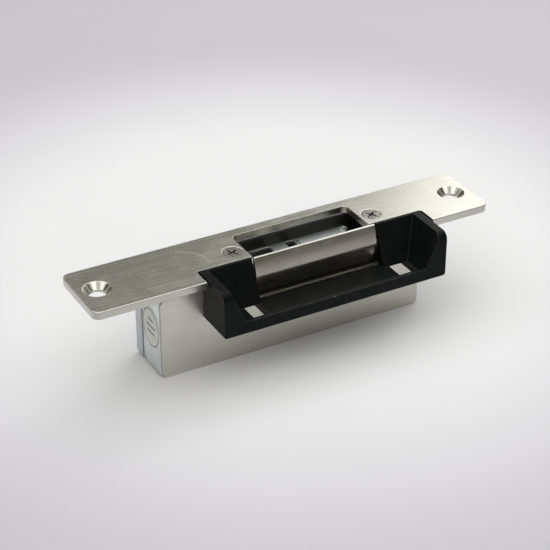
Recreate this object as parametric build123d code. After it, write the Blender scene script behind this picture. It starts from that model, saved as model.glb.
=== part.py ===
"""Narrow electric door strike: a fail-locked keeper released by a solenoid.

Millimetres, +Z up. X runs along the faceplate, +Y points to the back of the body and -Y to the
lip. The origin is the centre of the faceplate's screw pattern, on the plate's underside.
"""
import os
from math import cos, radians, sin

from build123d import *

# ---------------------------------------------------------------- driving dimensions
PLATE_LENGTH = 160.0
PLATE_WIDTH = 29.0
PLATE_THICKNESS = 3.0
PLATE_CORNER = 3.0
PLATE_BREAK = 0.2             # edge break round the plate's upper face
PLATE_SPAN = (-1.0, PLATE_THICKNESS + 1.0)     # reaches through the plate and past it
MOUNT_SPACING = 145.0         # between the two mounting holes
MOUNT_HOLE_R = 2.9
MOUNT_SINK_R = 5.15
SEAT_RELIEF = 0.25            # the plate is coined this deep over the body
SEAT_RELIEF_HALF = 54.6

LIP_CENTRE = 8.8              # the keeper side is offset from the middle of the plate
NOTCH_HALF = 46.4
NOTCH_Y = -6.1                # the notch reaches from the front edge to here
NOTCH_CORNER = 1.2
CUTOUT_HALF = 24.1
CUTOUT_CENTRE = 8.5
CUTOUT_BACK = 10.2
CUTOUT_CORNER = 2.4
BODY_SCREW_X = (-20.2, 37.4)
BODY_SCREW_R = 1.9
BODY_SCREW_HEAD_R = 3.9
BODY_SCREW_LENGTH = 9.0
BODY_SCREW_TURN = 28          # angle of the cross recess, degrees
BODY_SCREW_DROP = 0.1         # the heads sit this deep below the plate's face

BODY_HALF = 53.5              # half of the casting's length
BODY_FRONT = -9.3             # front face of the front cover
COVER_THICKNESS = 1.0
WALL_FRONT = BODY_FRONT + COVER_THICKNESS
WALL_INNER = WALL_FRONT + 2.0
BODY_STEP_Y = 5.8             # the rear tray wraps the casting from here back
CASTING_BACK = 10.1
BODY_BACK = 10.9
TRAY_LAP = 0.9                # the tray laps the casting's rear step by this much
TRAY_OVERHANG = 0.5           # the tray stands out past the casting's ends
CASTING_BOTTOM = -34.0
COVER_BOTTOM = -35.0
COVER_TOP = -3.2
COVER_CORNER = 2.0
COVER_INSET = 0.35            # the cover ends short of the casting's corners
STEP_Z = -2.9                 # underside of the casting strip above the cover
WALL = 2.0
TOP_WALL = 2.2

LIP_HALF = 45.57
LIP_FRONT = -25.3
LIP_TOP = 3.0
LIP_BOTTOM = -14.7
LIP_RIM = -10.1               # top of the low front wall
LIP_FLOOR = -12.0
LIP_WALL = 1.6
LIP_END_TOP = 3.1             # end block thickness at the top
LIP_END_SLOPE = 0.43          # its inner face leans in this much per mm of depth
LEDGE_BACK = -11.6            # back edge of the ledge in front of the keeper
WEB_TOP = -13.3               # lower web that joins the ledge to the body under the keeper
SEAT_BOTTOM = -12.6           # the lip sits in a notch of the front cover down to here
LIP_NOSE_R = 3.0              # rounding of the end blocks' front upper edge
LIP_CORNER_R = 1.0
MOUTH = (-16.3, 35.2)         # keeper opening between the two cheeks
WINDOW_EDGE = (4.2, 0.3)      # floor left beside the left and the right end block
MOUTH_RIB = (0.8, 2.0)        # wall left between each side window and the keeper
CHEEK_SKIN = 2.1              # thickness of the cheeks, hollow underneath
CHEEK_TOP = (-7.3, 2.6)       # y, z of the cheek's upper edge
CHEEK_FOOT = (-14.3, -12.0)   # y, z of its lower edge

PIVOT = (-3.5, -10.0)         # y, z of the keeper's pin
KEEPER_X = (-15.5, 34.6)
KEEPER_R = 5.9                # rolled lower edge
KEEPER_ROLL_END = 297         # where the rolled edge stops, degrees
KEEPER_BOSS_R = 4.0
KEEPER_TOP = 2.9
KEEPER_TOP_Y = (-7.4, -6.4)
KEEPER_FACE = (-8.47, -0.94)  # y, z halfway down the slightly crowned front
KEEPER_KNEE = (-9.25, -4.5)   # where the front turns into the rolled edge
PIN_R = 2.0
FIT = 0.03                    # radial clearance of pins that turn
SIDE_GAP = 0.1                # between the keeper and the washers at its ends
WASHER_R = 3.8
TAIL_X = (-5.0, 3.0)
TAIL_R = 12.5
TAIL_HALF = 1.75
SPRING_SLOT = (16.0, 26.0)

CHEEK_WALL_X = (-18.7, -16.35)     # left bulkhead that carries the keeper pin
FAR_WALL_X = (35.1, 41.0)         # right bulkhead
BULKHEAD_BOTTOM = -13.3
PIN_END = 40.4                # blind end of the keeper pin's hole
SWING_FLOOR = -15.8           # the front wall is open down to here for the keeper

RECESS_TOP = -4.7
RECESS_THICKNESS = 1.2
RECESS_X = (-16.1, 30.4)
RECESS_Y = (-2.0, 10.0)
RIB_X = (27.6, 30.4)
LINER_WALL = 0.65
LINER_LEFT = (-16.3, -15.65)
LINER_RIGHT = (34.7, 35.05)
LINER_FOOT = -12.5
RIB_Y = 3.7                   # the rib under the recess plate starts here
REST_X = (10.2, 29.6)         # raised rest for the latch on the recess plate
REST_Y = (0.2, 7.6)
REST_HEIGHT = 0.5
WIDE_WINDOW = ((-9.7, -0.6), (0.2, 8.6))
NARROW_WINDOW = ((5.7, 9.2), (0.2, 8.8))

LEVER_PIVOT = (-19.8, -16.5)  # x, z of the lever's pin
LEVER_Y = (1.4, 4.4)
LEVER_HUB_R = 3.0
LEVER_PIN_R = 1.5
TOOTH_R = 1.3
LEVER_PIN_END = 8.4
NOSE_Z = (-24.5, -20.3)       # lower and upper side of the lever's nose

COIL_Y = 2.9
COIL_Z = -23.5
COIL_X = (-49.3, -29.2)
COIL_R = 6.6
COIL_CORE_R = 4.2
FLANGE = 1.0
PLUNGER_R = 3.2
PLUNGER_X = (-37.4, -16.8)
PLUNGER_NOTCH = 1.6           # half width of the notch for the lever's tooth
CLIP_X = (-23.55, -23.05)
CLIP_SEAT_R = 2.5
CLIP_R = 4.5
YOKE_X = (-51.2, -27.6)
YOKE_THICKNESS = 1.8
YOKE_BACK = 9.6
YOKE_HALF = 7.0
POLE_STEM_R = 2.0
POLE_END = -40.0              # the plunger stops against this face

TERMINAL_X = (-46.5, -33.5)
TERMINAL_Z = (-13.2, -3.6)
TERMINAL_Y = (3.0, BODY_BACK)
TERMINAL_GAP = 0.2            # round the block where it passes through the tray


# ---------------------------------------------------------------- shape helpers
def block(x, y, z):
    """Box between the given pairs of limits."""
    size = (x[1] - x[0], y[1] - y[0], z[1] - z[0])
    centre = ((x[0] + x[1]) / 2, (y[0] + y[1]) / 2, (z[0] + z[1]) / 2)
    return Pos(*centre) * Box(*size)


def rod_x(radius, x, y, z):
    """Cylinder along X between the two x values."""
    return Pos((x[0] + x[1]) / 2, y, z) * Rot(0, 90, 0) * Cylinder(radius, x[1] - x[0])


def rod_y(radius, x, y, z):
    """Cylinder along Y between the two y values."""
    return Pos(x, (y[0] + y[1]) / 2, z) * Rot(90, 0, 0) * Cylinder(radius, y[1] - y[0])


def rod_z(radius, x, y, z):
    """Cylinder along Z between the two z values."""
    return Pos(x, y, (z[0] + z[1]) / 2) * Cylinder(radius, z[1] - z[0])


def prism_x(points, x):
    """Polygon of (y, z) points, extruded along X."""
    face = make_face(Polyline(*points, close=True))
    return Pos(x[0], 0, 0) * extrude(Plane.YZ * face, x[1] - x[0])


def prism_y(points, y):
    """Polygon of (x, z) points, extruded along Y."""
    face = make_face(Polyline(*points, close=True))
    return Pos(0, y[1], 0) * extrude(Plane.XZ * face, y[1] - y[0])


def sink_z(x, y, top, head_r, hole_r):
    """Cone of a right-angled countersink that opens upward."""
    depth = head_r - hole_r
    return Pos(x, y, top - depth / 2) * Cone(hole_r, head_r, depth)


def cross_recess(radius, depth):
    """Cross-recess cutter pointing down from the origin, with a tapered core."""
    wing_width = 0.32 * radius
    core_tip = 0.12 * radius
    core_top = 0.42 * radius
    wing = Pos(0, 0, -depth / 2) * Box(2 * radius, wing_width, depth)
    core = Pos(0, 0, -depth / 2) * Cone(core_tip, core_top, depth)
    return wing + Rot(0, 0, 90) * wing + core


# ---------------------------------------------------------------- faceplate
def make_faceplate():
    notch_x = (LIP_CENTRE - NOTCH_HALF, LIP_CENTRE + NOTCH_HALF)
    cutout_x = (CUTOUT_CENTRE - CUTOUT_HALF, CUTOUT_CENTRE + CUTOUT_HALF)
    outline = RectangleRounded(PLATE_LENGTH, PLATE_WIDTH, PLATE_CORNER)
    plate = extrude(outline, PLATE_THICKNESS)
    plate = chamfer(plate.faces().sort_by(Axis.Z)[-1].edges(), PLATE_BREAK)
    notch = block(notch_x, (-PLATE_WIDTH, NOTCH_Y), PLATE_SPAN)
    notch = fillet(notch.edges().filter_by(Axis.Z).sort_by(Axis.Y)[-2:], NOTCH_CORNER)
    cutout = block(cutout_x, (NOTCH_Y - 2, CUTOUT_BACK), PLATE_SPAN)
    cutout = fillet(cutout.edges().filter_by(Axis.Z).sort_by(Axis.Y)[-2:], CUTOUT_CORNER)
    plate -= notch + cutout
    relief_x = (-SEAT_RELIEF_HALF, SEAT_RELIEF_HALF)
    plate -= block(relief_x, (-PLATE_WIDTH, PLATE_WIDTH), (PLATE_SPAN[0], SEAT_RELIEF))
    for x in (-MOUNT_SPACING / 2, MOUNT_SPACING / 2):
        plate -= rod_z(MOUNT_HOLE_R, x, 0, PLATE_SPAN)
        plate -= sink_z(x, 0, PLATE_THICKNESS, MOUNT_SINK_R, MOUNT_HOLE_R)
    for x in BODY_SCREW_X:
        plate -= rod_z(BODY_SCREW_R, x, 0, PLATE_SPAN)
        plate -= sink_z(x, 0, PLATE_THICKNESS, BODY_SCREW_HEAD_R, BODY_SCREW_R)
    return plate


def make_faceplate_screws():
    recess_r = 0.54 * BODY_SCREW_HEAD_R
    recess_depth = 1.6
    head = PLATE_THICKNESS - BODY_SCREW_DROP
    screws = []
    for x in BODY_SCREW_X:
        screw = rod_z(BODY_SCREW_R, x, 0, (PLATE_THICKNESS - BODY_SCREW_LENGTH, head - 0.9))
        screw += sink_z(x, 0, head, BODY_SCREW_HEAD_R - BODY_SCREW_DROP, BODY_SCREW_R)
        screw -= Pos(x, 0, head) * Rot(0, 0, BODY_SCREW_TURN) * cross_recess(recess_r, recess_depth)
        screws.append(screw)
    return Compound(children=screws)


# ---------------------------------------------------------------- body
REAR_SCREWS = ((-49.6, -4.4), (-16.5, -30.2), (49.6, -4.4), (49.6, -30.0))
REAR_BOSS_R = 2.4
REAR_SCREW_R = 1.25
REAR_SCREW_TIP = 4.0
GUIDE_SCREWS = (-31.6, 48.9)
GUIDE_SCREW_Z = -7.6
GUIDE_SCREW_R = 1.6
GUIDE_SCREW_TIP = -18.0
YOKE_SCREW_X = -39.2
YOKE_SCREW_Z = (-17.6, -29.4)
YOKE_SCREW_R = 1.4
STUDS = ((-45.0, -8.0), (12.0, -26.5), (47.0, -26.5))
STUD_R = 1.25
STUD_TIP = WALL_INNER - 0.4
LEDGE_SCREWS = ((-13.5, 2.4), (29.0, 5.6))
LEDGE_SCREW_R = 0.9
LEDGE_SCREW_TIP = -8.8
LABEL_CENTRE = (-1.25, -17.8)
LABEL_RADII = (6.95, 8.2)


def casting_shell():
    """Open-backed box with a stepped rear edge that the tray slides over."""
    seat = SEAT_RELIEF
    outer = block((-BODY_HALF, BODY_HALF), (WALL_FRONT, BODY_STEP_Y), (CASTING_BOTTOM, seat))
    rear = BODY_HALF - TRAY_LAP
    outer += block((-rear, rear), (BODY_STEP_Y, CASTING_BACK), (CASTING_BOTTOM + 0.1, seat))
    outer += block((-BODY_HALF, BODY_HALF), (BODY_FRONT, WALL_FRONT), (STEP_Z, seat))
    inner = BODY_HALF - WALL
    room = (CASTING_BOTTOM + WALL - 0.2, seat - TOP_WALL)
    outer -= block((-inner, inner), (WALL_INNER, CASTING_BACK + 1), room)
    return outer


def casting_bulkheads():
    """Walls at both ends of the keeper, the rib under the recess plate and the bosses."""
    depth = (WALL_INNER, CASTING_BACK)
    floor = CASTING_BOTTOM + WALL / 2
    under = RECESS_TOP - RECESS_THICKNESS
    screw_boss = (BODY_SCREW_X[0] - 4.0, CHEEK_WALL_X[0])
    screw_boss_half = 4.2
    screw_boss_bottom = -7.2
    ledge_x = (CHEEK_WALL_X[1], -12.2)
    ledge_front = 0.9
    ledge_bottom = -9.4
    rear_boss_front = 0.5
    parts = block(CHEEK_WALL_X, depth, (BULKHEAD_BOTTOM, 0))
    parts += block(screw_boss, (-screw_boss_half, screw_boss_half), (screw_boss_bottom, 0))
    parts += block(FAR_WALL_X, depth, (floor, 0))
    parts += block(RIB_X, (RIB_Y, CASTING_BACK), (floor, under))
    parts += block(ledge_x, (ledge_front, CASTING_BACK), (ledge_bottom, under))
    for x, z in REAR_SCREWS:
        parts += rod_y(REAR_BOSS_R, x, (rear_boss_front, CASTING_BACK), z)
    return parts


def casting_openings():
    """Everything cut out of the casting."""
    notch = (LIP_CENTRE - NOTCH_HALF, LIP_CENTRE + NOTCH_HALF)
    mouth = (CHEEK_WALL_X[1], FAR_WALL_X[0])
    outside = BODY_FRONT - 1
    wall_y = (WALL_FRONT - 1, WALL_INNER + 1)
    lip_seat_y = NOTCH_Y - 0.25
    pocket_bottom = -4.0
    cuts = block(notch, (outside, lip_seat_y), (STEP_Z, 1))
    cuts += block(mouth, (outside, CASTING_BACK + 1), (pocket_bottom, 1))
    cuts += block(mouth, (outside, WALL_INNER + 0.1), (SWING_FLOOR, 1))
    cuts += rod_x(PIN_R, (CHEEK_WALL_X[0] - 1, PIN_END + 0.1), *PIVOT)
    for x in BODY_SCREW_X:
        cuts += rod_z(BODY_SCREW_R, x, 0, (PLATE_THICKNESS - BODY_SCREW_LENGTH, 1))
    for x, z in REAR_SCREWS:
        cuts += rod_y(REAR_SCREW_R, x, (REAR_SCREW_TIP - 0.5, CASTING_BACK + 1), z)
    for x in GUIDE_SCREWS:
        cuts += rod_y(GUIDE_SCREW_R, x, wall_y, GUIDE_SCREW_Z)
    for z in YOKE_SCREW_Z:
        cuts += rod_y(YOKE_SCREW_R, YOKE_SCREW_X, wall_y, z)
        cuts += yoke_screw_head(z)
    for x, z in STUDS:
        cuts += rod_y(STUD_R, x, (WALL_FRONT - 1, STUD_TIP + 0.1), z)
    cuts += rod_y(LEVER_PIN_R, LEVER_PIVOT[0], wall_y, LEVER_PIVOT[1])
    for x, y in LEDGE_SCREWS:
        cuts += rod_z(LEDGE_SCREW_R, x, y, (LEDGE_SCREW_TIP - 0.2, 0))
    return cuts


def make_casting():
    return casting_shell() + casting_bulkheads() - casting_openings()


def make_front_cover():
    """Stainless plate in the rebate of the casting, notched for the lip and the keeper."""
    half = BODY_HALF - COVER_INSET
    cover = block((-half, half), (BODY_FRONT, WALL_FRONT), (COVER_BOTTOM, COVER_TOP))
    cover = fillet(cover.edges().filter_by(Axis.Y), COVER_CORNER)
    through = (BODY_FRONT - 1, WALL_FRONT + 0.5)
    lip_seat = (LIP_CENTRE - LIP_HALF + 0.6, BODY_HALF + 1)
    cover -= block(lip_seat, through, (SEAT_BOTTOM, 0))
    cover -= block((CHEEK_WALL_X[1], FAR_WALL_X[0]), through, (SWING_FLOOR, 0))
    return cover


def make_front_cover_studs():
    return Compound(children=[rod_y(STUD_R, x, (WALL_FRONT, STUD_TIP), z) for x, z in STUDS])


def rear_screw_head(x, z, grow=0.0):
    depth = 0.8
    cone = Cone(REAR_SCREW_R + 0.1 + grow, REAR_SCREW_R + 0.9 + grow, depth)
    return Pos(x, BODY_BACK - depth / 2, z) * Rot(-90, 0, 0) * cone


def make_rear_cover():
    """Shallow tray of sheet steel that closes the back."""
    half = BODY_HALF + TRAY_OVERHANG
    corner = 1.5
    top = SEAT_RELIEF
    through = (CASTING_BACK - 1, BODY_BACK + 1)
    tray = block((-half, half), (BODY_STEP_Y + 0.1, BODY_BACK), (COVER_BOTTOM + 0.1, top))
    tray = fillet(tray.edges().filter_by(Axis.Y).group_by(Axis.Z)[0], corner)
    rear = BODY_HALF - TRAY_LAP + 0.1
    tray -= block((-rear, rear), (BODY_STEP_Y, CASTING_BACK), (CASTING_BOTTOM + 0.05, top + 1))
    for x, z in REAR_SCREWS:
        tray -= rod_y(REAR_SCREW_R + 0.1, x, through, z)
        tray -= rear_screw_head(x, z)
    terminal_x = (TERMINAL_X[0] - TERMINAL_GAP, TERMINAL_X[1] + TERMINAL_GAP)
    terminal_z = (TERMINAL_Z[0] - TERMINAL_GAP, TERMINAL_Z[1] + TERMINAL_GAP)
    return tray - block(terminal_x, through, terminal_z)


def make_rear_cover_screws():
    recess = cross_recess(1.1, 0.7)
    screws = []
    for x, z in REAR_SCREWS:
        screw = rod_y(REAR_SCREW_R, x, (REAR_SCREW_TIP, BODY_BACK - 0.5), z)
        screw += rear_screw_head(x, z, -0.05)
        screw -= Pos(x, BODY_BACK, z) * Rot(-90, 0, 0) * recess
        screws.append(screw)
    return Compound(children=screws)


def make_label():
    """Blank oval sticker on the left end face."""
    thickness = 0.15
    face = Plane.YZ.offset(-BODY_HALF) * Pos(*LABEL_CENTRE) * Ellipse(*LABEL_RADII)
    return extrude(face, -thickness)


# ---------------------------------------------------------------- latch guide
def lip_end_x(z, side):
    """Inner face of an end block at height z."""
    outer = LIP_CENTRE + side * LIP_HALF
    return outer - side * (LIP_END_TOP + LIP_END_SLOPE * (LIP_TOP - z))


def scoop(bottom, y):
    """Funnel-shaped room between the leaning end faces, from a level upward."""
    above = LIP_TOP + 4
    points = [(lip_end_x(bottom, -1), bottom), (lip_end_x(bottom, 1), bottom),
              (lip_end_x(above, 1), above), (lip_end_x(above, -1), above)]
    return prism_y(points, y)


def behind_cheeks():
    """Space behind the sloped faces of the cheeks, as a prism along the whole lip."""
    foot_y, foot_z = CHEEK_FOOT
    top_y, top_z = CHEEK_TOP
    lean = (foot_y - top_y) / (foot_z - top_z)
    far = 8.0
    points = [(top_y + lean * far, top_z + far), (foot_y - lean * far, foot_z - far),
              (far, foot_z - far), (far, top_z + far)]
    return prism_x(points, (-PLATE_LENGTH / 2, PLATE_LENGTH / 2))


def side_window(x):
    """Opening in the floor beside the keeper, running up into the hollow behind a cheek."""
    foot_y, foot_z = CHEEK_FOOT
    below = LIP_BOTTOM - 1
    hollow_back = -8.2
    hollow_top = -3.8
    knee = (-9.6, -6.6)
    hollow = [(foot_y, below), (foot_y, foot_z), (foot_y + CHEEK_SKIN, foot_z), knee,
              (hollow_back, hollow_top), (hollow_back, below)]
    floor_y = (LIP_FRONT + LIP_WALL, foot_y + 0.1)
    return prism_x(hollow, x) + block(x, floor_y, (below, foot_z))


def make_latch_guide():
    ends = (LIP_CENTRE - LIP_HALF, LIP_CENTRE + LIP_HALF)
    inward = NOTCH_Y - 0.4
    seat_x = (ends[0] + 0.8, BODY_HALF - 0.6)
    guide = block(ends, (LIP_FRONT, BODY_FRONT), (LIP_BOTTOM, LIP_TOP))
    guide += block(ends, (BODY_FRONT, inward), (STEP_Z + 0.1, LIP_TOP))
    guide += block(seat_x, (BODY_FRONT, WALL_FRONT), (SEAT_BOTTOM + 0.1, STEP_Z + 0.1))
    front_top = guide.edges().filter_by(Axis.X).group_by(Axis.Z)[-1].sort_by(Axis.Y)[0]
    guide = fillet(front_top, LIP_NOSE_R)
    corners = guide.edges().filter_by(Axis.Y).group_by(Axis.Z)[0]
    guide = fillet(corners, LIP_CORNER_R)

    front_of_cheeks = scoop(LIP_RIM, (LIP_FRONT - 1, 0)) + scoop(LIP_FLOOR, (LIP_FRONT + LIP_WALL, 0))
    guide -= front_of_cheeks - behind_cheeks()
    guide -= block(MOUTH, (CHEEK_FOOT[0] - 0.5, 0), (LIP_FLOOR, LIP_TOP + 1))
    guide -= block(MOUTH, (LEDGE_BACK, 0), (WEB_TOP, LIP_FLOOR))
    guide -= side_window((lip_end_x(LIP_FLOOR, -1) + WINDOW_EDGE[0], MOUTH[0] - MOUTH_RIB[0]))
    guide -= side_window((MOUTH[1] + MOUTH_RIB[1], lip_end_x(LIP_FLOOR, 1) - WINDOW_EDGE[1]))
    for x in GUIDE_SCREWS:
        guide -= rod_y(GUIDE_SCREW_R, x, (GUIDE_SCREW_TIP - 0.2, 0), GUIDE_SCREW_Z)
    return guide


def make_guide_screws():
    head_r = 2.5
    head_back = WALL_INNER + 1.8
    recess = cross_recess(1.7, 1.1)
    screws = []
    for x in GUIDE_SCREWS:
        screw = rod_y(GUIDE_SCREW_R, x, (GUIDE_SCREW_TIP, WALL_INNER), GUIDE_SCREW_Z)
        screw += rod_y(head_r, x, (WALL_INNER, head_back), GUIDE_SCREW_Z)
        screw -= Pos(x, head_back, GUIDE_SCREW_Z) * Rot(-90, 0, 0) * recess
        screws.append(screw)
    return Compound(children=screws)


# ---------------------------------------------------------------- keeper
def keeper_section():
    """Jaw with a thin upper edge, a crowned front and a rolled lower edge round the pin."""
    y, z = PIVOT
    top = KEEPER_TOP
    front, back = KEEPER_TOP_Y
    rounding = 0.3
    end = radians(KEEPER_ROLL_END)
    boss = 0.8 * KEEPER_BOSS_R
    end_point = (y + KEEPER_R * cos(end), z + KEEPER_R * sin(end))
    boss_point = (y + boss * cos(end), z + boss * sin(end))
    edge_middle = (front + 0.27 * rounding, top - 0.3 * rounding)
    face_top = (front, top - rounding)
    roll_start = (y - KEEPER_R, z)
    outline = [
        Line((back, top), (front + rounding, top)),
        ThreePointArc((front + rounding, top), edge_middle, face_top),
        ThreePointArc(face_top, KEEPER_FACE, KEEPER_KNEE),
        Line(KEEPER_KNEE, roll_start),
        CenterArc((y, z), KEEPER_R, 180, KEEPER_ROLL_END - 180),
        Line(end_point, boss_point),
        Line(boss_point, (y, z)),
        Line((y, z), (back, z)),
        Line((back, z), (back, top)),
    ]
    return make_face(Wire(outline))


def make_keeper():
    y, z = PIVOT
    length = KEEPER_X[1] - KEEPER_X[0]
    jaw = Pos(KEEPER_X[0], 0, 0) * extrude(Plane.YZ * keeper_section(), length)
    jaw += rod_x(KEEPER_BOSS_R, KEEPER_X, y, z)
    tail_y = (y - TAIL_HALF, y + TAIL_HALF)
    tail_root = z - 3
    tail = block(TAIL_X, tail_y, (z - TAIL_R - 1, tail_root))
    jaw += tail & rod_x(TAIL_R, TAIL_X, y, z)
    spring_room = KEEPER_BOSS_R + 0.6
    jaw -= rod_x(spring_room, SPRING_SLOT, y, z)
    jaw -= block(SPRING_SLOT, (y - spring_room, y + 8), (z, z + spring_room + 0.1))
    jaw -= rod_x(PIN_R + FIT, (KEEPER_X[0] - 1, KEEPER_X[1] + 1), y, z)
    return jaw


def make_keeper_pin():
    return rod_x(PIN_R, (CHEEK_WALL_X[0], PIN_END), *PIVOT)


def make_keeper_washers():
    left = (CHEEK_WALL_X[1], KEEPER_X[0] - SIDE_GAP)
    right = (KEEPER_X[1] + SIDE_GAP, FAR_WALL_X[0])
    washers = [rod_x(WASHER_R, x, *PIVOT) - rod_x(PIN_R + FIT, x, *PIVOT) for x in (left, right)]
    return Compound(children=washers)


def make_keeper_spring():
    """Torsion spring: turns round the pin, a leg under the recess plate, a leg behind the jaw."""
    y, z = PIVOT
    wire = 0.5
    mean = 3.3
    turns = 7
    pitch = 2 * wire + 0.06
    start = SPRING_SLOT[0] + 1.2
    end = start + turns * pitch
    back_leg_end = 5.0
    jaw_leg_top = -1.6
    coil = Helix(pitch, turns * pitch, mean, center=(start, y, z), direction=(1, 0, 0))
    section = Plane(origin=coil @ 0, z_dir=coil % 0) * Circle(wire)
    spring = sweep(section, path=coil, is_frenet=True)
    jaw_side = KEEPER_TOP_Y[1] + wire + 0.1
    spring += rod_y(wire, start, (y, back_leg_end), z + mean)
    spring += rod_y(wire, end, (jaw_side, y), z + mean)
    spring += Pos(end, jaw_side, z + mean) * Sphere(wire)
    spring += rod_z(wire, end, jaw_side, (z + mean, jaw_leg_top))
    return spring


def make_recess_plate():
    """Strike-box floor: plated steel with two windows and a raised rest for the latch."""
    through = (RECESS_TOP - 3, RECESS_TOP + 3)
    plate = block(RECESS_X, RECESS_Y, (RECESS_TOP - RECESS_THICKNESS, RECESS_TOP))
    plate += block(REST_X, REST_Y, (RECESS_TOP, RECESS_TOP + REST_HEIGHT))
    for x, y in (WIDE_WINDOW, NARROW_WINDOW):
        plate -= block(x, y, through)
    for x, y in LEDGE_SCREWS:
        plate -= rod_z(LEDGE_SCREW_R + 0.1, x, y, through)
    return plate


def make_recess_liner():
    """Black U-shaped lining of the pocket: back wall and two end walls beside the keeper."""
    back = RECESS_Y[1]
    foot = RECESS_TOP + 0.05
    rim = -0.1
    front = WALL_FRONT + 0.1
    beside_plate = RECESS_Y[0] - 0.1
    skirt_bottom = -8.0
    back_wall = (back - LINER_WALL, back)
    liner = block((LINER_LEFT[0], LINER_RIGHT[1]), back_wall, (foot, rim))
    for x in (LINER_LEFT, LINER_RIGHT):
        liner += block(x, (front, back), (foot, rim))
        liner += block(x, (front, beside_plate), (LINER_FOOT, foot))
    liner += block((RECESS_X[1] + 0.1, LINER_RIGHT[1]), back_wall, (skirt_bottom, foot))
    liner += block(LINER_RIGHT, (beside_plate, back), (LINER_FOOT, foot))
    return liner - rod_x(KEEPER_BOSS_R + 0.2, (LINER_LEFT[0] - 1, LINER_RIGHT[1] + 1), *PIVOT)


def make_recess_screws():
    head_r = 1.7
    head_height = 0.9
    recess = cross_recess(1.1, 0.6)
    screws = []
    for x, y in LEDGE_SCREWS:
        seat = RECESS_TOP + (REST_HEIGHT if x > REST_X[0] else 0)
        top = seat + head_height
        screw = rod_z(LEDGE_SCREW_R, x, y, (LEDGE_SCREW_TIP, seat)) + rod_z(head_r, x, y, (seat, top))
        screw -= Pos(x, y, top) * recess
        screws.append(screw)
    return Compound(children=screws)


# ---------------------------------------------------------------- lever and solenoid
def make_lever():
    """Bell crank: a tooth in the plunger's notch, and a nose behind the keeper's tail."""
    x, z = LEVER_PIVOT
    low, high = NOSE_Z
    tail_end = TAIL_X[1]
    arm = [(x - 1.4, z - 2.6), (x + 1.2, z + 2.75), (-7.0, high), (tail_end, high), (tail_end, low),
           (-8.5, low), (-16.0, -19.9)]
    lever = prism_y(arm, LEVER_Y) + rod_y(LEVER_HUB_R, x, LEVER_Y, z)
    shank = 0.6
    lever += block((x - shank, x + shank), LEVER_Y, (COIL_Z, z))
    lever += rod_y(TOOTH_R, x, LEVER_Y, COIL_Z)
    nose_tip = -1.3
    bevel_top = -22.6
    nose = [(nose_tip, low), (nose_tip, bevel_top), (LEVER_Y[0] + 0.6, high), (LEVER_Y[1], high),
            (LEVER_Y[1], low)]
    lever += prism_x(nose, TAIL_X)
    return lever - rod_y(LEVER_PIN_R + FIT, x, (LEVER_Y[0] - 1, LEVER_Y[1] + 1), z)


def make_lever_pin():
    x, z = LEVER_PIVOT
    head_r = 2.4
    pin = rod_y(LEVER_PIN_R, x, (WALL_FRONT, LEVER_PIN_END), z)
    return pin + rod_y(head_r, x, (LEVER_PIN_END, LEVER_PIN_END + 1), z)


def make_lever_bushes():
    x, z = LEVER_PIVOT
    bush_r = 2.5
    front = (WALL_INNER, LEVER_Y[0] - 0.1)
    back = (LEVER_Y[1] + 0.1, LEVER_PIN_END)
    bushes = [rod_y(bush_r, x, y, z) - rod_y(LEVER_PIN_R, x, y, z) for y in (front, back)]
    return Compound(children=bushes)


def make_plunger():
    plunger = rod_x(PLUNGER_R, PLUNGER_X, COIL_Y, COIL_Z)
    plunger = chamfer(plunger.edges(), 0.4)
    notch_x = (LEVER_PIVOT[0] - PLUNGER_NOTCH, LEVER_PIVOT[0] + PLUNGER_NOTCH)
    notch_y = (COIL_Y - 5, COIL_Y + 5)
    plunger -= block(notch_x, notch_y, (COIL_Z - PLUNGER_NOTCH, COIL_Z + 5))
    groove_x = (CLIP_X[0] - 0.05, CLIP_X[1] + 0.05)
    groove = rod_x(PLUNGER_R + 1, groove_x, COIL_Y, COIL_Z)
    return plunger - (groove - rod_x(CLIP_SEAT_R, groove_x, COIL_Y, COIL_Z))


def make_plunger_clip():
    clip = rod_x(CLIP_R, CLIP_X, COIL_Y, COIL_Z) - rod_x(CLIP_SEAT_R, CLIP_X, COIL_Y, COIL_Z)
    gap_half = 1.9
    wide = (CLIP_X[0] - 1, CLIP_X[1] + 1)
    return clip - block(wide, (COIL_Y - gap_half, COIL_Y + gap_half), (COIL_Z - 6, COIL_Z))


def make_plunger_spring():
    """Compression spring between the yoke and the clip, round the plunger."""
    wire = 0.3
    mean = PLUNGER_R + 0.5
    length = 3.3
    turns = 4
    start = (YOKE_X[1] + wire + 0.05, COIL_Y, COIL_Z)
    coil = Helix(length / turns, length, mean, center=start, direction=(1, 0, 0))
    section = Plane(origin=coil @ 0, z_dir=coil % 0) * Circle(wire)
    return sweep(section, path=coil, is_frenet=True)


def make_yoke():
    """Frame of the solenoid: a strap against the front wall with two end plates."""
    front = WALL_INNER
    near, far = YOKE_X
    near_plate = YOKE_THICKNESS
    far_plate = 1.5
    height = (COIL_Z - YOKE_HALF, COIL_Z + YOKE_HALF)
    yoke = block(YOKE_X, (front, front + YOKE_THICKNESS), height)
    yoke += block((near, near + near_plate), (front, YOKE_BACK), height)
    yoke += block((far - far_plate, far), (front, YOKE_BACK), height)
    yoke -= rod_x(PLUNGER_R + 0.12, (far - far_plate - 1, far + 1), COIL_Y, COIL_Z)
    yoke -= rod_x(POLE_STEM_R, (near - 1, near + near_plate + 1), COIL_Y, COIL_Z)
    for z in YOKE_SCREW_Z:
        yoke -= rod_y(YOKE_SCREW_R, YOKE_SCREW_X, (front - 1, front + YOKE_THICKNESS + 1), z)
    return yoke


def yoke_screw_head(z):
    depth = 1.3
    cone = Cone(YOKE_SCREW_R, YOKE_SCREW_R + depth, depth)
    return Pos(YOKE_SCREW_X, WALL_FRONT + depth / 2, z) * Rot(90, 0, 0) * cone


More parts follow.
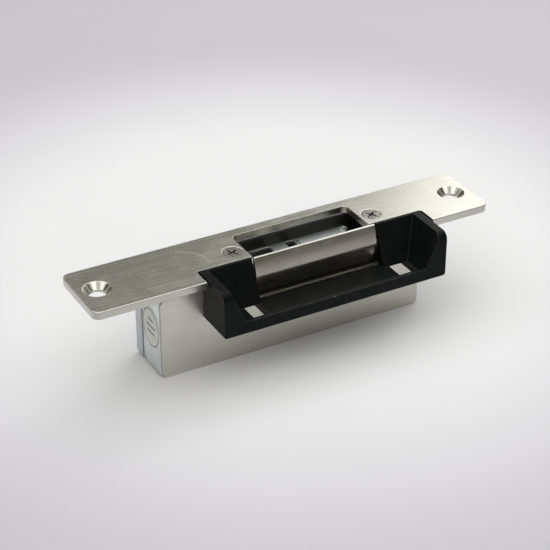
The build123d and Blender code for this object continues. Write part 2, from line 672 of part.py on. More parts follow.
def make_yoke_screws():
    length = (WALL_FRONT + 0.1, WALL_INNER + YOKE_THICKNESS - 0.1)
    screws = [rod_y(YOKE_SCREW_R, YOKE_SCREW_X, length, z) + yoke_screw_head(z) for z in YOKE_SCREW_Z]
    return Compound(children=screws)


def make_bobbin():
    start, end = COIL_X
    bobbin = rod_x(COIL_CORE_R, COIL_X, COIL_Y, COIL_Z)
    for flange in ((start, start + FLANGE), (end - FLANGE, end)):
        bobbin += rod_x(COIL_R + 0.1, flange, COIL_Y, COIL_Z)
    return bobbin - rod_x(PLUNGER_R + 0.15, (start - 1, end + 1), COIL_Y, COIL_Z)


def make_winding():
    x = (COIL_X[0] + FLANGE, COIL_X[1] - FLANGE)
    return rod_x(COIL_R - 0.2, x, COIL_Y, COIL_Z) - rod_x(COIL_CORE_R, x, COIL_Y, COIL_Z)


def make_pole_piece():
    core = rod_x(PLUNGER_R + 0.1, (COIL_X[0] - 0.1, POLE_END), COIL_Y, COIL_Z)
    return core + rod_x(POLE_STEM_R, (YOKE_X[0], COIL_X[0]), COIL_Y, COIL_Z)


# ---------------------------------------------------------------- electrical parts
TERMINAL_PITCH = 6.0
TERMINAL_SCREW_Z = -6.3
TERMINAL_SCREW_R = 1.8
TERMINAL_FLOOR = 5.0          # y of the bottom of the screw wells
WIRE_ENTRY = (-12.2, -9.0)    # z of the wire entries
CLAMP_HALF = 1.6
LEAD_R = 0.35
DIODE_PLACE = (1.2, -5.2)     # y, z


def terminal_centres():
    middle = (TERMINAL_X[0] + TERMINAL_X[1]) / 2
    return (middle - TERMINAL_PITCH / 2, middle + TERMINAL_PITCH / 2)


def make_terminal_block():
    """Two-way block whose screws and wire entries face the back of the body."""
    body = block(TERMINAL_X, TERMINAL_Y, TERMINAL_Z)
    entry_half = CLAMP_HALF + 0.1
    outside = BODY_BACK + 1
    for x in terminal_centres():
        body -= rod_y(TERMINAL_SCREW_R + 0.1, x, (TERMINAL_FLOOR, outside), TERMINAL_SCREW_Z)
        body -= block((x - entry_half, x + entry_half), (TERMINAL_FLOOR - 0.4, outside), WIRE_ENTRY)
    return body


def make_terminal_screws():
    stem_r = 0.9
    head_y = (7.4, 9.6)
    slot_half = 0.3
    slot_depth = 0.6
    screws = []
    for x in terminal_centres():
        screw = rod_y(TERMINAL_SCREW_R, x, head_y, TERMINAL_SCREW_Z)
        screw += rod_y(stem_r, x, (TERMINAL_FLOOR, head_y[0] + 0.6), TERMINAL_SCREW_Z)
        slot_z = (TERMINAL_SCREW_Z - slot_half, TERMINAL_SCREW_Z + slot_half)
        screw -= block((x - 2, x + 2), (head_y[1] - slot_depth, head_y[1] + 1), slot_z)
        screws.append(screw)
    return Compound(children=screws)


def make_terminal_clamps():
    y = (TERMINAL_FLOOR - 0.4, 9.2)
    z = (WIRE_ENTRY[1] - 0.6, WIRE_ENTRY[1])
    return Compound(children=[block((x - CLAMP_HALF, x + CLAMP_HALF), y, z) for x in terminal_centres()])


def make_coil_leads():
    """Two short enamelled leads from the coil up to the terminal block."""
    leads = []
    out_y, out_z = cos(radians(135)), sin(radians(135))
    surface = COIL_R - 0.15
    bend = surface + 2.2
    entries = (-10.0, -8.0)
    for x, z in zip(terminal_centres(), entries):
        path = FilletPolyline((x, COIL_Y + surface * out_y, COIL_Z + surface * out_z),
                              (x, COIL_Y + bend * out_y, COIL_Z + bend * out_z),
                              (x, COIL_Y + bend * out_y, z), (x, TERMINAL_Y[0], z), radius=1.0)
        section = Plane(origin=path @ 0, z_dir=path % 0) * Circle(LEAD_R)
        leads.append(sweep(section, path=path))
    return Compound(children=leads)


def make_diode():
    """Suppression diode across the two terminals, with its wire ends."""
    first, second = terminal_centres()
    body_r = 1.2
    wire_r = 0.3
    wire_end = 0.9
    body = rod_x(body_r, (first + wire_end, second - wire_end), *DIODE_PLACE)
    return body + rod_x(wire_r, (first, second), *DIODE_PLACE)


# ---------------------------------------------------------------- export
PARTS = {
    "faceplate": make_faceplate,
    "faceplate_screws": make_faceplate_screws,
    "body_casting": make_casting,
    "front_cover": make_front_cover,
    "front_cover_studs": make_front_cover_studs,
    "rear_cover": make_rear_cover,
    "rear_cover_screws": make_rear_cover_screws,
    "inspection_label": make_label,
    "latch_guide": make_latch_guide,
    "guide_screws": make_guide_screws,
    "keeper": make_keeper,
    "keeper_pin": make_keeper_pin,
    "keeper_washers": make_keeper_washers,
    "keeper_spring": make_keeper_spring,
    "recess_plate": make_recess_plate,
    "recess_liner": make_recess_liner,
    "recess_screws": make_recess_screws,
    "locking_lever": make_lever,
    "lever_pin": make_lever_pin,
    "lever_bushes": make_lever_bushes,
    "plunger": make_plunger,
    "plunger_clip": make_plunger_clip,
    "plunger_spring": make_plunger_spring,
    "solenoid_yoke": make_yoke,
    "yoke_screws": make_yoke_screws,
    "coil_bobbin": make_bobbin,
    "coil_winding": make_winding,
    "pole_piece": make_pole_piece,
    "terminal_block": make_terminal_block,
    "terminal_screws": make_terminal_screws,
    "terminal_clamps": make_terminal_clamps,
    "coil_leads": make_coil_leads,
    "suppression_diode": make_diode,
}

os.makedirs("parts", exist_ok=True)
for node, make in PARTS.items():
    export_step(make(), f"parts/{node}.step")
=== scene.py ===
"""Looks for a narrow electric door strike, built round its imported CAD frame. Metres, +Z up."""

from math import cos, pi, radians, sin

import bmesh
import bpy
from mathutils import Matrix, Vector


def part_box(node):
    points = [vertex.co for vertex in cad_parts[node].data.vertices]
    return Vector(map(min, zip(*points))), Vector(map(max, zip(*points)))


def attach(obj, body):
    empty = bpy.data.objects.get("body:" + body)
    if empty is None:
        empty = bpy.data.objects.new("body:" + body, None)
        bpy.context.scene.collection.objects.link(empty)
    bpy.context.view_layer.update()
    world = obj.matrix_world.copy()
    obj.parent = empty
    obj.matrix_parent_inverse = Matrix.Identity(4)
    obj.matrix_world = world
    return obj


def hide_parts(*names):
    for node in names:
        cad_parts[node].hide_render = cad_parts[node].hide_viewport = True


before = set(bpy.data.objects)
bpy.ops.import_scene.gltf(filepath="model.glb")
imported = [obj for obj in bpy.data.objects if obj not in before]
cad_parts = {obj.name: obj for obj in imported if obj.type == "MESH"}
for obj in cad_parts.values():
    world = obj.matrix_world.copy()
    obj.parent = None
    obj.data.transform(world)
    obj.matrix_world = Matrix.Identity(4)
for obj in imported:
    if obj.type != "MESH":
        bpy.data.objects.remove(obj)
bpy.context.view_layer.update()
MM = 0.001
FLOOR_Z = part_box("front_cover")[0].z


# ---------------------------------------------------------------- shader building
# Socket numbers of a colour Mix node
MIX_FACTOR = 0
MIX_FIRST = 6
MIX_SECOND = 7
MIX_RESULT = 2


class Shader:
    """A Principled material whose textures follow the object's own coordinates, in millimetres."""

    def __init__(self, name, **sockets):
        self.material = bpy.data.materials.new(name)
        self.material.use_nodes = True
        tree = self.material.node_tree
        self.nodes = tree.nodes
        self.links = tree.links
        self.bsdf = self.nodes["Principled BSDF"]
        self.set(self.bsdf, **sockets)
        position = self.nodes.new("ShaderNodeTexCoord").outputs["Object"]
        self.position = self.math_vector("SCALE", position, scale=1 / MM)

    def set(self, node, **sockets):
        """Links or sets each socket; an underscore stands for a space in its name."""
        for label, value in sockets.items():
            socket = node.inputs[label.replace("_", " ")]
            if isinstance(value, bpy.types.NodeSocket):
                self.links.new(value, socket)
            elif socket.type == "RGBA" and len(value) == 3:
                socket.default_value = (*value, 1)
            else:
                socket.default_value = value

    def math_vector(self, operation, vector, other=None, scale=1.0):
        node = self.nodes.new("ShaderNodeVectorMath")
        node.operation = operation
        self.links.new(vector, node.inputs[0])
        if other is not None:
            node.inputs[1].default_value = other
        if operation == "SCALE":
            node.inputs["Scale"].default_value = scale
        return node.outputs["Value"] if operation in ("LENGTH", "DOT_PRODUCT") else node.outputs[0]

    def math(self, operation, first, second=0.0):
        node = self.nodes.new("ShaderNodeMath")
        node.operation = operation
        for socket, value in zip(node.inputs, (first, second)):
            if isinstance(value, bpy.types.NodeSocket):
                self.links.new(value, socket)
            else:
                socket.default_value = value
        return node.outputs[0]

    def noise(self, size, detail=3.0, roughness=0.55, vector=None):
        """Noise whose features have the given size in millimetres, one size or one for each axis."""
        sizes = (size, size, size) if isinstance(size, (int, float)) else size
        stretched = self.math_vector("MULTIPLY", vector or self.position, tuple(1 / s for s in sizes))
        node = self.nodes.new("ShaderNodeTexNoise")
        self.set(node, Vector=stretched, Scale=1.0, Detail=detail, Roughness=roughness)
        return node.outputs["Fac"]

    def span(self, value, low_in, high_in, low_out, high_out, smooth=False):
        """The value carried from one range to another, and held at its ends."""
        node = self.nodes.new("ShaderNodeMapRange")
        node.interpolation_type = "SMOOTHSTEP" if smooth else "LINEAR"
        self.set(node, Value=value, From_Min=low_in, From_Max=high_in, To_Min=low_out, To_Max=high_out)
        return node.outputs["Result"]

    def blend(self, factor, first, second):
        """A colour between the first (factor 0) and the second (factor 1)."""
        node = self.nodes.new("ShaderNodeMix")
        node.data_type = "RGBA"
        for index, value in ((MIX_FACTOR, factor), (MIX_FIRST, first), (MIX_SECOND, second)):
            socket = node.inputs[index]
            if isinstance(value, bpy.types.NodeSocket):
                self.links.new(value, socket)
            else:
                socket.default_value = (*value, 1)
        return node.outputs[MIX_RESULT]

    def bump(self, height, distance, normal=None):
        """Surface relief: distance is the full height in millimetres."""
        node = self.nodes.new("ShaderNodeBump")
        self.set(node, Height=height, Distance=distance * MM, Strength=1.0)
        if normal is not None:
            self.links.new(normal, node.inputs["Normal"])
        return node.outputs["Normal"]

    def component(self, vector, axis):
        node = self.nodes.new("ShaderNodeSeparateXYZ")
        self.links.new(vector, node.inputs[0])
        return node.outputs[axis]


def shade(color, factor):
    return tuple(min(1.0, channel * factor) for channel in color)


# ---------------------------------------------------------------- materials
STREAK_LENGTH = 9             # brushing streaks, mm
STREAK_WIDTH = 0.16
COARSE_STREAKS = 3.6          # the coarse streaks are this many times as large
CHATTER_MARKS = 9.0           # wedges round one countersink
# turns the painted bright and dark wedges round each hole
GLINT_PHASE = 1.4
RING_RADIUS = 0.9             # the sticker's printed border, as a share of its half size
BAR_HALF = 0.45               # half of a printed bar's height, mm


def brushed(name, color, along="X", rough=0.32, grain=1.0, smudge=0.08, scratches=()):
    """Brushed metal: fine and coarse streaks along one axis, soft handling marks, sparse scratches.

    A scratch is an arc: centre, radius and width in millimetres, and where its middle points, in degrees.
    """
    shader = Shader(name, Metallic=1.0)
    fine_size = tuple(STREAK_LENGTH if axis == along else STREAK_WIDTH for axis in "XYZ")
    fine = shader.noise(fine_size, detail=2.0)
    coarse = shader.noise(tuple(COARSE_STREAKS * size for size in fine_size), detail=2.0)
    marks = shader.noise(11, detail=4.0)
    streaks = shader.math("ADD", shader.math("MULTIPLY", fine, 0.5), shader.math("MULTIPLY", coarse, 0.5))
    tone = shader.span(streaks, 0.3, 0.7, 0.0, 1.0)
    base = shader.blend(tone, shade(color, 1 - 0.10 * grain), shade(color, 1 + 0.07 * grain))
    base = shader.blend(shader.span(marks, 0.35, 0.75, 0.0, 0.35), base, shade(color, 0.86))
    roughness = shader.span(streaks, 0.3, 0.7, rough - 0.05, rough + 0.07)
    roughness = shader.math("ADD", roughness, shader.span(marks, 0.4, 0.7, 0.0, smudge, smooth=True))
    normal = shader.bump(streaks, 0.008 * grain)
    for centre, radius, width, heading in scratches:
        offset = shader.math_vector("SUBTRACT", shader.position, centre)
        ring = shader.math("ABSOLUTE", shader.math("SUBTRACT", shader.math_vector("LENGTH", offset), radius))
        toward = (cos(radians(heading)), sin(radians(heading)), 0)
        reach = shader.math_vector("DOT_PRODUCT", offset, toward)
        part = shader.span(reach, 0.70 * radius, 0.80 * radius, 0.0, 1.0, smooth=True)
        line = shader.math("MULTIPLY", shader.span(ring, width, 0.0, 0.0, 1.0), part)
        base = shader.blend(shader.math("MULTIPLY", line, 0.6), base, shade(color, 1.35))
        roughness = shader.math("ADD", roughness, shader.math("MULTIPLY", line, 0.12))
        normal = shader.bump(line, -0.02, normal=normal)
    shader.set(shader.bsdf, Base_Color=base, Roughness=roughness, Normal=normal)
    return shader.material


def turned(name, color, centres):
    """Freshly cut countersinks: chatter relief that fans out from each hole's centre, with bright and dark
    wedges painted into the colour as glints and shade.
    """
    shader = Shader(name, Metallic=1.0)
    side = shader.math("GREATER_THAN", shader.component(shader.position, "X"), 0.0)
    left, right = centres
    centre_x = shader.span(side, 0.0, 1.0, left, right)
    dx = shader.math("SUBTRACT", shader.component(shader.position, "X"), centre_x)
    dy = shader.component(shader.position, "Y")
    heading = shader.math("ARCTAN2", dy, dx)
    phase = shader.math("ADD", shader.math("MULTIPLY", heading, CHATTER_MARKS), GLINT_PHASE)
    wave = shader.math("SINE", phase)
    # painted glint and shade: the wedges lighten and darken the base colour; the chatter relief itself is
    # the bump
    painted_glint_wedge = shader.span(wave, -0.6, 0.6, 0.0, 1.0, smooth=True)
    base = shader.blend(painted_glint_wedge, shade(color, 0.45), shade(color, 1.1))
    roughness = shader.span(painted_glint_wedge, 0.0, 1.0, 0.16, 0.30)
    shader.set(shader.bsdf, Base_Color=base, Roughness=roughness, Normal=shader.bump(wave, 0.05))
    return shader.material


def cast_metal(name, color, rough=0.45):
    """Die-cast zinc: a fine orange-peel skin with faint flow marks."""
    shader = Shader(name, Metallic=1.0)
    skin = shader.noise(0.5, detail=4.0)
    flow = shader.noise((14, 5, 9), detail=3.0)
    base = shader.blend(shader.span(flow, 0.35, 0.7, 0.0, 1.0), shade(color, 0.88), shade(color, 1.06))
    roughness = shader.span(flow, 0.3, 0.7, rough - 0.06, rough + 0.1)
    normal = shader.bump(skin, 0.05)
    shader.set(shader.bsdf, Base_Color=base, Roughness=roughness, Normal=normal)
    return shader.material


def satin_black(name):
    """Satin black coating on a casting: fine pebble, slightly greyer patches and pale specks."""
    shader = Shader(name, Specular_IOR_Level=0.07)
    pebble = shader.noise(0.35, detail=3.0)
    patches = shader.noise(8, detail=4.0)
    tone = shader.span(patches, 0.35, 0.7, 0.0, 1.0)
    base = shader.blend(tone, (0.005, 0.0057, 0.0057), (0.008, 0.0087, 0.0087))
    specks = shader.span(shader.noise(0.9, detail=2.0, roughness=0.8), 0.76, 0.80, 0.0, 0.4)
    base = shader.blend(specks, base, (0.10, 0.10, 0.095))
    roughness = shader.span(patches, 0.3, 0.75, 0.24, 0.34)
    normal = shader.bump(pebble, 0.010)
    shader.set(shader.bsdf, Base_Color=base, Roughness=roughness, Normal=normal)
    return shader.material


def worn_black(name):
    """Edges of the black coating, worn through to grey metal here and there."""
    shader = Shader(name, Specular_IOR_Level=0.3)
    wear = shader.noise(1.6, detail=4.0, roughness=0.65)
    bare = shader.span(wear, 0.64, 0.72, 0.0, 1.0, smooth=True)
    base = shader.blend(bare, (0.010, 0.010, 0.010), (0.22, 0.21, 0.19))
    roughness = shader.span(wear, 0.3, 0.7, 0.40, 0.30)
    shader.set(shader.bsdf, Base_Color=base, Roughness=roughness, Metallic=bare)
    return shader.material


def polished(name, color, rough=0.2):
    """Machined or plated metal with soft tarnish."""
    shader = Shader(name, Metallic=1.0)
    haze = shader.noise(3, detail=4.0)
    turning = shader.noise(0.12, detail=1.0)
    base = shader.blend(shader.span(haze, 0.35, 0.7, 0.0, 1.0), shade(color, 0.85), shade(color, 1.05))
    roughness = shader.span(haze, 0.3, 0.7, rough - 0.04, rough + 0.1)
    shader.set(shader.bsdf, Base_Color=base, Roughness=roughness, Normal=shader.bump(turning, 0.006))
    return shader.material


def oxidised(name, dark, light):
    """Blackened screw heads, rubbed bright in specks."""
    shader = Shader(name, Metallic=1.0)
    specks = shader.noise(0.75, detail=4.0, roughness=0.7)
    rubbed = shader.span(specks, 0.46, 0.60, 0.0, 1.0, smooth=True)
    base = shader.blend(rubbed, dark, light)
    roughness = shader.span(specks, 0.3, 0.7, 0.44, 0.28)
    shader.set(shader.bsdf, Base_Color=base, Roughness=roughness, Normal=shader.bump(specks, 0.012))
    return shader.material


def plastic(name, color, rough=0.42, specks=0.0):
    """Moulded plastic with a spark-eroded texture."""
    shader = Shader(name)
    texture = shader.noise(0.3, detail=2.0)
    cloud = shader.noise(6, detail=3.0)
    base = shader.blend(shader.span(cloud, 0.35, 0.7, 0.0, 1.0), shade(color, 0.9), shade(color, 1.08))
    if specks:
        base = shader.blend(shader.span(texture, 0.6, 0.7, 0.0, specks), base, shade(color, 0.7))
    roughness = shader.span(cloud, 0.3, 0.7, rough - 0.05, rough + 0.08)
    shader.set(shader.bsdf, Base_Color=base, Roughness=roughness, Normal=shader.bump(texture, 0.02))
    return shader.material


def enamelled_wire(name, color):
    """Copper under amber enamel: metal below a clear coat."""
    shader = Shader(name, Metallic=0.85, Coat_Weight=0.8, Coat_Roughness=0.15)
    cloud = shader.noise(2.5, detail=3.0)
    base = shader.blend(shader.span(cloud, 0.35, 0.7, 0.0, 1.0), shade(color, 0.75), shade(color, 1.15))
    shader.set(shader.bsdf, Base_Color=base, Roughness=shader.span(cloud, 0.3, 0.7, 0.28, 0.42))
    return shader.material


def sticker(name, centre, half_y, half_z, bars):
    """Paper sticker with a thin printed border just inside its edge and plain printed bars.

    A bar is its height above the sticker's centre and half of its length, in millimetres.
    """
    shader = Shader(name)
    offset = shader.math_vector("SUBTRACT", shader.position, centre)
    flat = shader.math_vector("MULTIPLY", offset, (0, 1 / half_y, 1 / half_z))
    radius = shader.math_vector("LENGTH", flat)
    near_ring = shader.math("ABSOLUTE", shader.math("SUBTRACT", radius, RING_RADIUS))
    ring = shader.span(near_ring, 0.035, 0.02, 0.0, 0.85)
    fibre = shader.noise(0.4, detail=4.0)
    grime = shader.noise(3.5, detail=4.0)
    paper = shader.blend(shader.span(fibre, 0.3, 0.7, 0.0, 1.0), (0.82, 0.83, 0.78), (0.90, 0.91, 0.86))
    paper = shader.blend(shader.span(grime, 0.5, 0.75, 0.0, 0.3), paper, (0.55, 0.55, 0.48))
    across = shader.component(offset, "Y")
    up = shader.component(offset, "Z")
    ink = ring
    for bar_z, bar_length in bars:
        near_line = shader.math("ABSOLUTE", shader.math("SUBTRACT", up, bar_z))
        line = shader.span(near_line, BAR_HALF, BAR_HALF - 0.15, 0.0, 0.8)
        inside = shader.span(shader.math("ABSOLUTE", across), bar_length, bar_length - 0.2, 0.0, 1.0)
        ink = shader.math("MAXIMUM", ink, shader.math("MULTIPLY", line, inside))
    base = shader.blend(ink, paper, (0.03, 0.04, 0.035))
    shader.set(shader.bsdf, Base_Color=base, Roughness=shader.span(fibre, 0.3, 0.7, 0.45, 0.6),
               Normal=shader.bump(fibre, 0.02))
    return shader.material


PLATE_COLOR = (0.59, 0.58, 0.525)
MOUNT_HOLES = (-72.5, 72.5)
LABEL_BARS = ((3.2, 2.2), (0.6, 3.6), (-2.0, 3.0))
PLATE_SCRATCH = ((-41.5, -1.0, 3.0), 11.0, 0.3, 32)

label_low, label_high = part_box("inspection_label")
label_centre = tuple(v / MM for v in (label_low + label_high) / 2)
label_half = (label_high - label_low) / (2 * MM)

MATERIALS = {
    "plate": brushed("brushed_plate", PLATE_COLOR, rough=0.25, grain=0.32, smudge=0.04,
                     scratches=(PLATE_SCRATCH,)),
    # a lighter copy of the plate for the rounded edges of faceplate and front cover: a painted highlight
    "plate_edge": brushed("plate_edge_painted_highlight", (0.66, 0.65, 0.58), rough=0.30, grain=0.5),
    "cover": brushed("brushed_cover", (0.64, 0.63, 0.57), rough=0.30, smudge=0.10),
    "tray": brushed("brushed_tray", (0.52, 0.53, 0.55), rough=0.34, smudge=0.12),
    "keeper": brushed("rubbed_keeper", (0.50, 0.48, 0.41), rough=0.18, grain=0.6, smudge=0.08),
    # countersinks, with painted glints and shade in their colour
    "turned": turned("turned_countersink_painted_glints", (0.66, 0.65, 0.58), MOUNT_HOLES),
    # a much lighter copy of the metal for rounded strips and the keeper's top: a painted highlight
    "painted_highlight_edge": brushed("painted_highlight_edge", (0.82, 0.81, 0.76), rough=0.20, grain=0.4),
    "recess": brushed("plated_recess", (0.58, 0.60, 0.60), rough=0.42, grain=0.6),
    "yoke": brushed("plated_yoke", (0.60, 0.62, 0.62), along="Z", rough=0.34, grain=0.6),
    "casting": cast_metal("zinc_casting_skin", (0.76, 0.78, 0.79)),
    "lever": cast_metal("sintered_lever", (0.50, 0.51, 0.52), rough=0.38),
    "black": satin_black("satin_black_coat"),
    "black_edge": worn_black("worn_black_edge"),
    "pin": polished("ground_pin", (0.70, 0.70, 0.70)),
    "plated_screw": polished("bright_zinc_screw", (0.74, 0.75, 0.74), rough=0.26),
    "dark_screw": oxidised("dark_oxide_screw", (0.13, 0.128, 0.115), (0.58, 0.57, 0.52)),
    "spring": polished("spring_wire", (0.42, 0.43, 0.45), rough=0.30),
    "brass": polished("plain_brass", (0.78, 0.58, 0.26), rough=0.25),
    "iron": polished("nickel_iron", (0.66, 0.67, 0.68), rough=0.24),
    "nylon": plastic("natural_nylon", (0.74, 0.71, 0.60), specks=0.3),
    "green": plastic("green_terminal", (0.03, 0.16, 0.07), rough=0.36),
    # near-black liner on the recess walls: a dark sheet standing in for the shade in the recess
    "liner": plastic("black_nylon_painted_shade", (0.008, 0.008, 0.007), rough=0.40),
    "epoxy": plastic("black_epoxy", (0.015, 0.015, 0.016), rough=0.25),
    "copper": enamelled_wire("enamelled_copper", (0.62, 0.24, 0.09)),
    "paper": sticker("blank_sticker", label_centre, label_half.y, label_half.z, LABEL_BARS),
}


# ---------------------------------------------------------------- mesh building
BEVEL_SEGMENTS = 3
BEVEL_ANGLE = 32              # edges sharper than this are rounded, degrees
SINK_FROM_X = 66              # the countersinks lie farther out than this, mm
SINK_SLOPE = (0.4, 0.95)      # and their faces lean this much
SINK_FACE_AREA = 20           # and each is smaller than this, square mm
LAND_FROM_Z = 2.5             # the keeper's upper edge, painted lighter as a highlight, begins here, mm
COIL_WIRE = 0.42              # all of these in mm
COIL_BORE_R = 4.2
COIL_STEPS = 72


def new_piece(name, bm, body, materials, smooth_angle=35):
    """A mesh piece from a bmesh, riding on a body."""
    mesh = bpy.data.meshes.new(name)
    bm.to_mesh(mesh)
    bm.free()
    piece = bpy.data.objects.new(name, mesh)
    bpy.context.scene.collection.objects.link(piece)
    for key in materials:
        mesh.materials.append(MATERIALS[key])
    mesh.shade_smooth()
    mesh.set_sharp_from_angle(angle=radians(smooth_angle))
    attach(piece, body)
    return piece


def clean_copy(node):
    """The CAD node's surface, its facets joined into flat faces and the many-sided ones cut up."""
    bm = bmesh.new()
    bm.from_mesh(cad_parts[node].data)
    bmesh.ops.remove_doubles(bm, verts=bm.verts, dist=0.0005 * MM)
    bmesh.ops.dissolve_limit(bm, angle_limit=radians(0.5), verts=bm.verts, edges=bm.edges)
    many_sided = [face for face in bm.faces if len(face.verts) > 4]
    bmesh.ops.triangulate(bm, faces=many_sided, ngon_method="BEAUTY")
    for face in bm.faces:
        face.material_index = 0
    return bm


def countersinks(faces):
    """The conical faces round the two mounting holes."""
    flattest, steepest = SINK_SLOPE[1], SINK_SLOPE[0]
    for face in faces:
        outboard = abs(face.calc_center_median().x) > SINK_FROM_X * MM
        small = face.calc_area() < SINK_FACE_AREA * MM * MM
        if outboard and small and steepest < face.normal.z < flattest:
            face.material_index = 2


def top_land(faces):
    """The upper edge of the keeper, painted lighter as a highlight."""
    for face in faces:
        if face.calc_center_median().z > LAND_FROM_Z * MM:
            # painted highlight on the keeper's top faces
            face.material_index = 1


# Nodes with faces in a material of their own, and the function that picks the faces
ACCENTS = {"faceplate": countersinks, "keeper": top_land}
# Nodes whose outer corners get sharp miters; the others get rounded ones
SHARP_MITERS = {"faceplate", "body_casting", "rear_cover", "recess_plate", "locking_lever"}


def refine(node, body, materials, width):
    """Stand-in for a CAD node with its sharp edges rounded, the rounded strips in the second material."""
    bm = clean_copy(node)
    if node in ACCENTS:
        ACCENTS[node](bm.faces)
    piece = new_piece(f"{node}_finished", bm, body, materials)
    bevel = piece.modifiers.new("edges", "BEVEL")
    bevel.width = width * MM
    bevel.segments = BEVEL_SEGMENTS
    bevel.limit_method = "ANGLE"
    bevel.angle_limit = radians(BEVEL_ANGLE)
    bevel.miter_outer = "MITER_SHARP" if node in SHARP_MITERS else "MITER_ARC"
    bevel.use_clamp_overlap = False
    bevel.loop_slide = False
    bevel.material = 1
    piece.modifiers.new("flat_faces", "WEIGHTED_NORMAL").keep_sharp = True
    bpy.context.view_layer.update()
    evaluated = piece.evaluated_get(bpy.context.evaluated_depsgraph_get())
    rounded = bpy.data.meshes.new_from_object(evaluated)
    piece.modifiers.clear()
    piece.data = rounded
    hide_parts(node)


# Node, body, slot, materials (the second one for the rounded strips), width of the rounding in mm
REFINED = (
    ("faceplate", "frame", "plate_steel", ("plate", "plate_edge", "turned"), 0.12),
    ("body_casting", "frame", "zinc_casting", ("casting", "casting"), 0.05),
    ("front_cover", "frame", "cover_steel", ("cover", "plate_edge"), 0.14),
    ("rear_cover", "frame", "tray_steel", ("tray", "tray"), 0.14),
    ("latch_guide", "frame", "black_lip", ("black", "black_edge"), 0.14),
    ("keeper", "keeper_jaw", "keeper_steel", ("keeper", "painted_highlight_edge"), 0.22),
    ("recess_plate", "frame", "recess_steel", ("recess", "painted_highlight_edge"), 0.08),
    # the recess liner: painted shade
    ("recess_liner", "frame", "liner_plastic", ("liner", "liner"), 0.10),
    ("locking_lever", "lever", "lever_steel", ("lever", "lever"), 0.10),
    ("terminal_block", "frame", "terminal_plastic", ("green", "green"), 0.10),
    ("solenoid_yoke", "frame", "yoke_steel", ("yoke", "yoke"), 0.10),
    ("coil_bobbin", "frame", "bobbin_plastic", ("nylon", "nylon"), 0.15),
    ("faceplate_screws", "frame", "dark_screw", ("dark_screw", "dark_screw"), 0.04),
    ("rear_cover_screws", "frame", "plated_screw", ("plated_screw", "plated_screw"), 0.025),
    ("guide_screws", "frame", "plated_screw", ("plated_screw", "plated_screw"), 0.04),
    ("recess_screws", "frame", "plated_screw", ("plated_screw", "plated_screw"), 0.03),
    ("yoke_screws", "frame", "plated_screw", ("plated_screw", "plated_screw"), 0.05),
    ("terminal_screws", "frame", "brass", ("brass", "brass"), 0.06),
    ("plunger", "plunger_rod", "plunger_steel", ("iron", "iron"), 0.06),
)

for node, body, slot, materials, width in REFINED:
    refine(node, body, materials, width)


def wound_coil():
    """The winding as rows of wire: a sleeve turned about the coil's axis, ribbed at the wire's pitch."""
    wire = COIL_WIRE * MM
    low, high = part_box("coil_winding")
    centre = (low + high) / 2
    outer = (high.z - low.z) / 2
    inner = COIL_BORE_R * MM
    turns = int((high.x - low.x) / wire)
    pitch = (high.x - low.x) / turns
    profile = [(low.x, inner)]
    for turn in range(turns):
        for share, height in ((0.0, 0.55), (0.2, 0.15), (0.5, 0.0), (0.8, 0.15)):
            profile.append((low.x + (turn + share) * pitch, outer - height * wire / 2))
    profile += [(high.x, outer - 0.55 * wire / 2), (high.x, inner)]
    bm = bmesh.new()
    angles = [2 * pi * step / COIL_STEPS for step in range(COIL_STEPS)]
    rings = []
    for x, radius in profile:
        circle = [(x, centre.y + radius * cos(a), centre.z + radius * sin(a)) for a in angles]
        rings.append([bm.verts.new(point) for point in circle])
    for first, second in zip(rings, rings[1:] + rings[:1]):
        for step in range(COIL_STEPS):
            after = (step + 1) % COIL_STEPS
            bm.faces.new((first[step], first[after], second[after], second[step]))
    bmesh.ops.recalc_face_normals(bm, faces=bm.faces)
    coil = new_piece("wound_coil", bm, "frame", ("copper",), smooth_angle=60)
    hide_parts("coil_winding")


wound_coil()

# CAD nodes shown as they are, each with its material
KEPT = {
    "front_cover_studs": "plated_screw",
    "inspection_label": "paper",
    "keeper_pin": "pin",
    "keeper_washers": "brass",
    "keeper_spring": "spring",
    "lever_pin": "pin",
    "lever_bushes": "brass",
    "plunger_clip": "spring",
    "plunger_spring": "spring",
    "pole_piece": "iron",
    "terminal_clamps": "brass",
    "coil_leads": "copper",
    "suppression_diode": "epoxy",
}

for node, key in KEPT.items():
    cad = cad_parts[node]
    cad.data.materials.clear()
    cad.data.materials.append(MATERIALS[key])


# ---------------------------------------------------------------- studio
FLOOR_HALF = 4.0              # half of the paper's side, metres
LIGHT_POOL_CENTRE = (25, 50, 0)     # middle of the painted pool of light on the paper, mm
NEAR_FADE = (90, 215)         # the painted light falls off over this distance from it, the paper darker and a little lilac, mm
FAR_FADE = (240, 600)         # and falls to a painted dim grey over this one
HORIZON = (0.125, 0.12, 0.10)
ZENITH = (0.30, 0.30, 0.275)
ZENITH_HEIGHT = 0.9
CAMERA_PLACE = (-0.26347, -0.47335, 0.31201)
CAMERA_VIEW = (0.41364, 0.75163, -0.51377)
CAMERA_LENS = 113.5


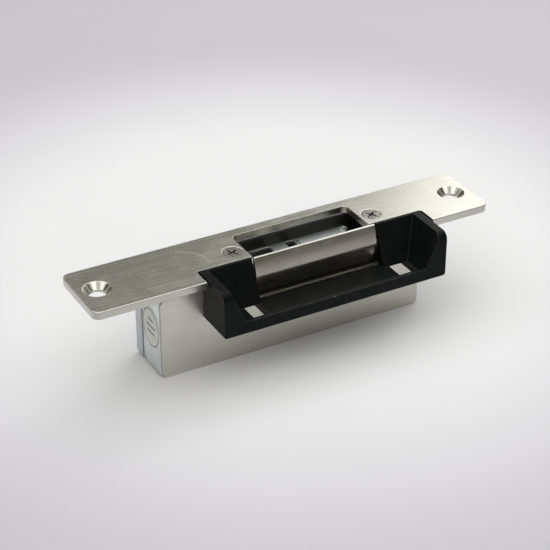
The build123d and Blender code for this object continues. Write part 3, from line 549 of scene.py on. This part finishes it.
def paper_floor():
    """Flat pale paper under the part with a painted pool of light round it: darker and a little lilac away
    from it, grey farther out.
    """
    shader = Shader("studio_paper_painted_light_pool")
    fibre = shader.noise(60, detail=4.0)
    offset = shader.math_vector("SUBTRACT", shader.position, LIGHT_POOL_CENTRE)
    distance = shader.math_vector("LENGTH", offset)
    tone = shader.blend(shader.span(fibre, 0.3, 0.7, 0.0, 1.0), (0.79, 0.79, 0.805), (0.81, 0.81, 0.825))
    # painted pool of light: the paper darkens with distance from its centre
    near = shader.span(distance, *NEAR_FADE, 0.0, 1.0, smooth=True)
    tone = shader.blend(near, tone, (0.55, 0.528, 0.575))
    far = shader.span(distance, *FAR_FADE, 0.0, 1.0, smooth=True)
    tone = shader.blend(far, tone, (0.34, 0.33, 0.34))
    shader.set(shader.bsdf, Base_Color=tone, Roughness=shader.span(fibre, 0.3, 0.7, 0.75, 0.85))
    bm = bmesh.new()
    bmesh.ops.create_grid(bm, x_segments=2, y_segments=2, size=FLOOR_HALF)
    mesh = bpy.data.meshes.new("studio_floor")
    bm.to_mesh(mesh)
    bm.free()
    mesh.materials.append(shader.material)
    floor = bpy.data.objects.new("studio_floor", mesh)
    floor.location = (0, 0, FLOOR_Z)
    bpy.context.scene.collection.objects.link(floor)


def softbox(name, position, target, size, power):
    """A rectangular area light turned to the target, its power in watts."""
    light = bpy.data.lights.new(name, "AREA")
    light.shape = "RECTANGLE"
    light.size, light.size_y = size
    light.energy = power
    lamp = bpy.data.objects.new(name, light)
    lamp.location = position
    lamp.rotation_euler = (Vector(target) - Vector(position)).to_track_quat("-Z", "Y").to_euler()
    bpy.context.scene.collection.objects.link(lamp)


def compass(azimuth, elevation, distance):
    """Point at an azimuth counted from +Y towards +X, an elevation and a distance from the origin."""
    a, e = radians(azimuth), radians(elevation)
    return (distance * sin(a) * cos(e), distance * cos(a) * cos(e), distance * sin(e))


def surroundings():
    """Dim grey studio that the metal reflects, lighter overhead."""
    world = bpy.data.worlds.new("studio")
    bpy.context.scene.world = world
    world.use_nodes = True
    nodes, links = world.node_tree.nodes, world.node_tree.links
    direction = nodes.new("ShaderNodeTexCoord").outputs["Generated"]
    split = nodes.new("ShaderNodeSeparateXYZ")
    links.new(direction, split.inputs[0])
    height = nodes.new("ShaderNodeMapRange")
    links.new(split.outputs["Z"], height.inputs["Value"])
    height.inputs["From Min"].default_value = 0.0
    height.inputs["From Max"].default_value = ZENITH_HEIGHT
    mix = nodes.new("ShaderNodeMix")
    mix.data_type = "RGBA"
    links.new(height.outputs["Result"], mix.inputs[MIX_FACTOR])
    mix.inputs[MIX_FIRST].default_value = (*HORIZON, 1)
    mix.inputs[MIX_SECOND].default_value = (*ZENITH, 1)
    links.new(mix.outputs[MIX_RESULT], nodes["Background"].inputs["Color"])
    nodes["Background"].inputs["Strength"].default_value = 1.0


def camera():
    data = bpy.data.cameras.new("camera")
    data.lens = CAMERA_LENS
    data.sensor_width = 36
    data.clip_start = 0.01
    data.clip_end = 20
    viewer = bpy.data.objects.new("camera", data)
    viewer.location = CAMERA_PLACE
    viewer.rotation_euler = Vector(CAMERA_VIEW).to_track_quat("-Z", "Y").to_euler()
    bpy.context.scene.collection.objects.link(viewer)
    bpy.context.scene.camera = viewer


paper_floor()
surroundings()
softbox("right_softbox", compass(56, 30, 1.3), (0.03, 0, 0), (0.85, 0.9), 4.4)
softbox("overhead", (-0.1, 0.0, 1.3), (0, 0, 0), (2.4, 2.4), 24)
softbox("front_fill", compass(200, 35, 1.6), (0, 0, 0), (1.6, 0.9), 3.0)
camera()
bpy.context.scene.view_settings.view_transform = "Standard"
